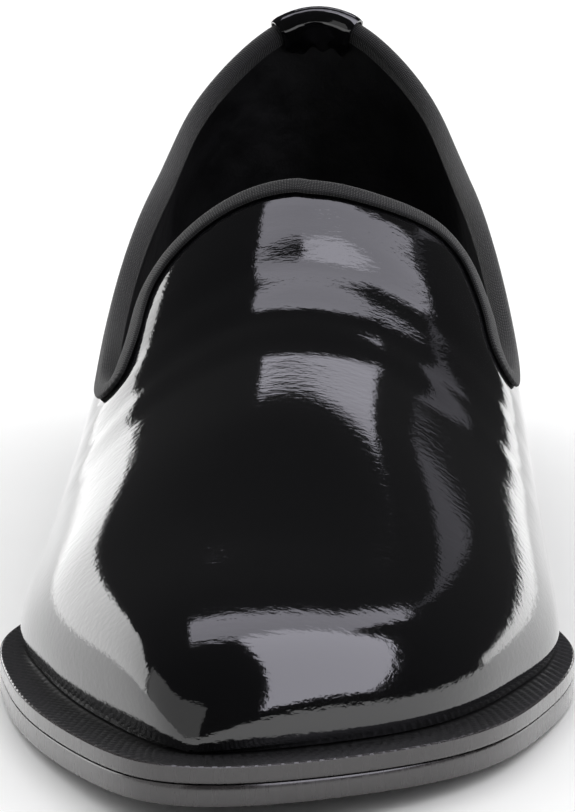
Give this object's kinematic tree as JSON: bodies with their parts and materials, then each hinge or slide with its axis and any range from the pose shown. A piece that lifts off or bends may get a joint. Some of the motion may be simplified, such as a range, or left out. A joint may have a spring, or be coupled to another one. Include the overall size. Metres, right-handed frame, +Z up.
{
  "type": "slip-on dress shoe",
  "caption": "Left slip-on dress shoe with a plain vamp, a bound collar, a folded tab at the back, a welted leather sole and a low stacked heel.",
  "frame": {"origin": "middle of the shoe's bounding box in plan, on the floor that it stands on", "axes": "+Z up, the heel towards +Y and the toe towards -Y, the outer side of the foot towards +X and the inner side towards -X"},
  "size_m": [0.1068, 0.3, 0.0936],
  "materials": {
    "patent_leather": "black lacquered leather with a mirror gloss",
    "grosgrain": "matt black ribbed ribbon",
    "sole_leather": "black edge dressing, satin",
    "heel_rubber": "matt black",
    "lining_leather": "smooth black lining leather, half matt"
  },
  "bodies": {
    "root": {"outsole": "sole_leather", "welt": "sole_leather", "top_piece": "heel_rubber", "heel_lift_3": "sole_leather", "heel_lift_2": "sole_leather", "heel_lift_1": "sole_leather", "upper": "patent_leather", "insole": "lining_leather", "collar_binding": "grosgrain", "heel_tab": "patent_leather"}
  },
  "joints": []
}
